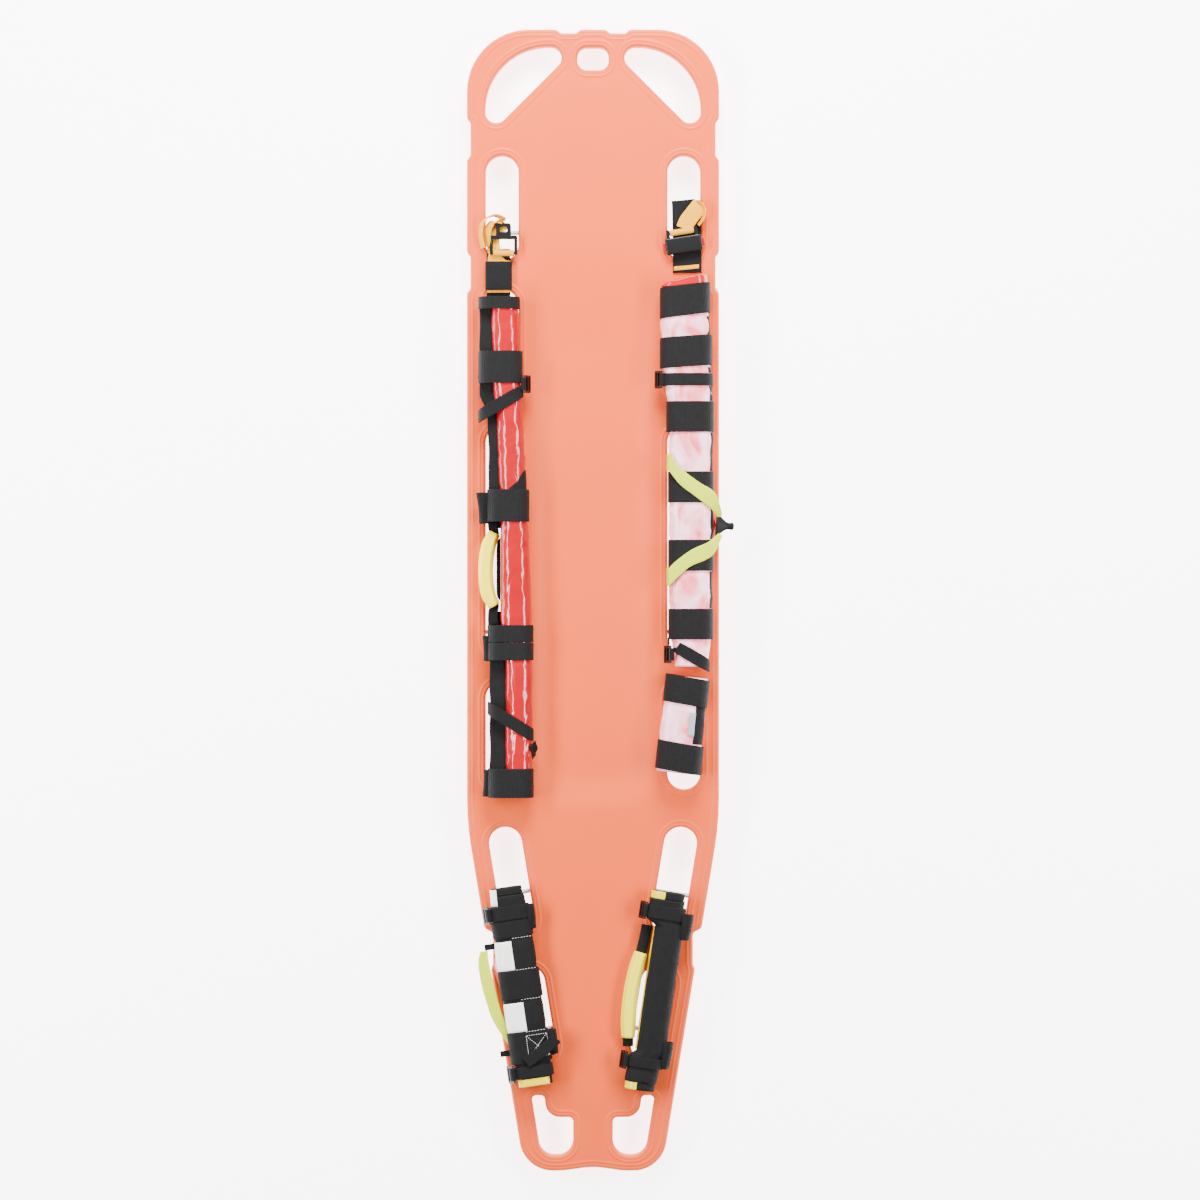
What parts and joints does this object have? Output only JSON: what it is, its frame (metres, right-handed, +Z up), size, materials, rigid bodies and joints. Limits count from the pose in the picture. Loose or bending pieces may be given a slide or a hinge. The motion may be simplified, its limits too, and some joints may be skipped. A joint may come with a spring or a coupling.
{
  "type": "spine board with stowed restraint harness",
  "caption": "Long moulded spine board with grab holes and side slots, carrying a stowed strap harness of rolled wraps, grab handles and buckle halves.",
  "frame": {"origin": "centre of the flat underside, halfway between head and foot", "axes": "+Y towards the head, +Z up through the top face"},
  "size_m": [0.4275, 1.829, 0.0902],
  "materials": {
    "board_plastic": "satin moulded",
    "foam": "matt foam",
    "pin_plastic": "satin",
    "black_webbing": "woven",
    "red_cloth": "glossy coated",
    "pink_cloth": "satin",
    "red_lining": "woven",
    "lime_webbing": "woven",
    "lime_grip": "satin",
    "yellow_webbing": "woven",
    "yellow_lining": "coated",
    "white_cloth": "coated",
    "grey_cloth": "woven",
    "black_plastic": "moulded",
    "black_grip": "moulded",
    "red_plastic": "moulded",
    "steel": "brushed",
    "cord": "braided"
  },
  "bodies": {
    "board": {"board_shell": "board_plastic", "foam_core": "foam", "clip_pins": "pin_plastic"},
    "left_wrap": {"left_roll": "red_cloth", "left_edge_webbing": "black_webbing", "left_bands": "black_webbing", "left_diagonal_straps": "black_webbing", "left_lock_loop": "black_webbing", "left_strap_tail": "black_webbing", "left_shoulder_backing": "black_webbing", "left_shoulder_webbing": "yellow_webbing", "left_shoulder_keeper": "black_webbing"},
    "left_ladder_lock": {"left_ladder_lock": "black_plastic"},
    "left_handle": {"left_handle_grip": "lime_grip", "left_handle_webbing": "black_webbing"},
    "left_tongue": {"left_buckle_tongue": "black_plastic"},
    "right_wrap": {"right_roll": "pink_cloth", "right_lining": "red_lining", "right_bands": "black_webbing", "right_diagonal_strap": "black_webbing", "right_lock_loops": "black_webbing", "right_cord_loop": "cord", "right_lower_roll": "pink_cloth", "right_lower_bands": "black_webbing", "right_edge_webbing": "black_webbing", "right_tab": "grey_cloth", "right_shoulder_webbing": "black_webbing", "right_shoulder_yellow_webbing": "yellow_webbing"},
    "right_upper_ladder_lock": {"right_upper_ladder_lock": "black_plastic"},
    "right_lower_ladder_lock": {"right_lower_ladder_lock": "black_plastic"},
    "right_grab": {"right_grab_strap": "lime_webbing", "right_grab_grip": "black_grip"},
    "right_buckle": {"right_buckle_housing": "black_plastic", "right_buckle_latch": "steel", "right_buckle_springs": "steel"},
    "right_buckle_button_left": {"right_buckle_button_left": "red_plastic"},
    "right_buckle_button_right": {"right_buckle_button_right": "red_plastic"},
    "left_foot_wrap": {"left_foot_roll": "black_webbing", "left_foot_bands": "black_webbing", "left_foot_lining": "yellow_lining", "left_foot_lock_loops": "black_webbing", "left_foot_panels": "white_cloth", "left_foot_handle_tabs": "black_webbing"},
    "left_foot_upper_ladder_lock": {"left_foot_upper_ladder_lock": "black_plastic"},
    "left_foot_lower_ladder_lock": {"left_foot_lower_ladder_lock": "black_plastic"},
    "left_foot_handle": {"left_foot_handle": "lime_webbing"},
    "right_foot_wrap": {"right_foot_roll": "black_webbing", "right_foot_bands": "black_webbing", "right_foot_lining": "yellow_lining", "right_foot_lock_loops": "black_webbing"},
    "right_foot_upper_ladder_lock": {"right_foot_upper_ladder_lock": "black_plastic"},
    "right_foot_lower_ladder_lock": {"right_foot_lower_ladder_lock": "black_plastic"},
    "right_foot_handle": {"right_foot_handle_grip": "lime_grip", "right_foot_handle_webbing": "black_webbing"}
  },
  "joints": [
    {"name": "left_wrap_lift", "type": "slide", "parent": "board", "child": "left_wrap", "axis": [0, 0, 1], "range_m": [0, 0.15]},
    {"name": "right_wrap_lift", "type": "slide", "parent": "board", "child": "right_wrap", "axis": [0, 0, 1], "range_m": [0, 0.15]},
    {"name": "left_foot_wrap_lift", "type": "slide", "parent": "board", "child": "left_foot_wrap", "axis": [0, 0, 1], "range_m": [0, 0.15]},
    {"name": "right_foot_wrap_lift", "type": "slide", "parent": "board", "child": "right_foot_wrap", "axis": [0, 0, 1], "range_m": [0, 0.15]},
    {"name": "left_ladder_lock_tilt", "type": "hinge", "parent": "left_wrap", "child": "left_ladder_lock", "pos_m": [-0.1089, 0.3446, 0.0793], "axis": [0, -1, 0], "range_deg": [0, 60]},
    {"name": "left_handle_swing", "type": "hinge", "parent": "left_wrap", "child": "left_handle", "pos_m": [-0.16, 0.05, 0.0578], "axis": [0, 1, 0], "range_deg": [0, 90]},
    {"name": "left_tongue_tilt", "type": "hinge", "parent": "left_wrap", "child": "left_tongue", "pos_m": [-0.143, 0.555, 0.0551], "axis": [1, 0, 0], "range_deg": [0, 60]},
    {"name": "right_upper_ladder_lock_tilt", "type": "hinge", "parent": "right_wrap", "child": "right_upper_ladder_lock", "pos_m": [0.10807, 0.3518, 0.0793], "axis": [0, 1, 0], "range_deg": [0, 60]},
    {"name": "right_lower_ladder_lock_tilt", "type": "hinge", "parent": "right_wrap", "child": "right_lower_ladder_lock", "pos_m": [0.12277, -0.0862, 0.0793], "axis": [0, 1, 0], "range_deg": [0, 60]},
    {"name": "right_grab_swing", "type": "hinge", "parent": "right_wrap", "child": "right_grab", "pos_m": [0.119, 0.12, 0.0892], "axis": [0, -1, 0], "range_deg": [0, 80]},
    {"name": "right_buckle_tilt", "type": "hinge", "parent": "right_wrap", "child": "right_buckle", "pos_m": [0.142, 0.5895, 0.0541], "axis": [-0.9877, -0.1564, 0], "range_deg": [0, 60]},
    {"name": "right_buckle_button_left_press", "type": "slide", "parent": "right_buckle", "child": "right_buckle_button_left", "axis": [0.9877, 0.1564, 0], "range_m": [0, 0.003], "stiffness_N_per_m": 200},
    {"name": "right_buckle_button_right_press", "type": "slide", "parent": "right_buckle", "child": "right_buckle_button_right", "axis": [-0.9877, -0.1564, 0], "range_m": [0, 0.003], "stiffness_N_per_m": 200},
    {"name": "left_foot_upper_ladder_lock_tilt", "type": "hinge", "parent": "left_foot_wrap", "child": "left_foot_upper_ladder_lock", "pos_m": [-0.16591, -0.50343, 0.0763], "axis": [-0.1464, 0.9892, 0], "range_deg": [0, 60]},
    {"name": "left_foot_lower_ladder_lock_tilt", "type": "hinge", "parent": "left_foot_wrap", "child": "left_foot_lower_ladder_lock", "pos_m": [-0.12721, -0.75649, 0.0763], "axis": [-0.1464, 0.9892, 0], "range_deg": [0, 60]},
    {"name": "right_foot_upper_ladder_lock_tilt", "type": "hinge", "parent": "right_foot_wrap", "child": "right_foot_upper_ladder_lock", "pos_m": [0.08382, -0.49419, 0.0763], "axis": [0.1499, 0.9887, 0], "range_deg": [0, 60]},
    {"name": "right_foot_lower_ladder_lock_tilt", "type": "hinge", "parent": "right_foot_wrap", "child": "right_foot_lower_ladder_lock", "pos_m": [0.05256, -0.7332, 0.0763], "axis": [0.1499, 0.9887, 0], "range_deg": [0, 60]},
    {"name": "left_foot_handle_swing", "type": "hinge", "parent": "left_foot_wrap", "child": "left_foot_handle", "pos_m": [-0.16011, -0.62185, 0.0646], "axis": [-0.1464, 0.9892, 0], "range_deg": [0, 80]},
    {"name": "right_foot_handle_swing", "type": "hinge", "parent": "right_foot_wrap", "child": "right_foot_handle", "pos_m": [0.06823, -0.61825, 0.0578], "axis": [0.1499, 0.9887, 0], "range_deg": [0, 90]}
  ]
}
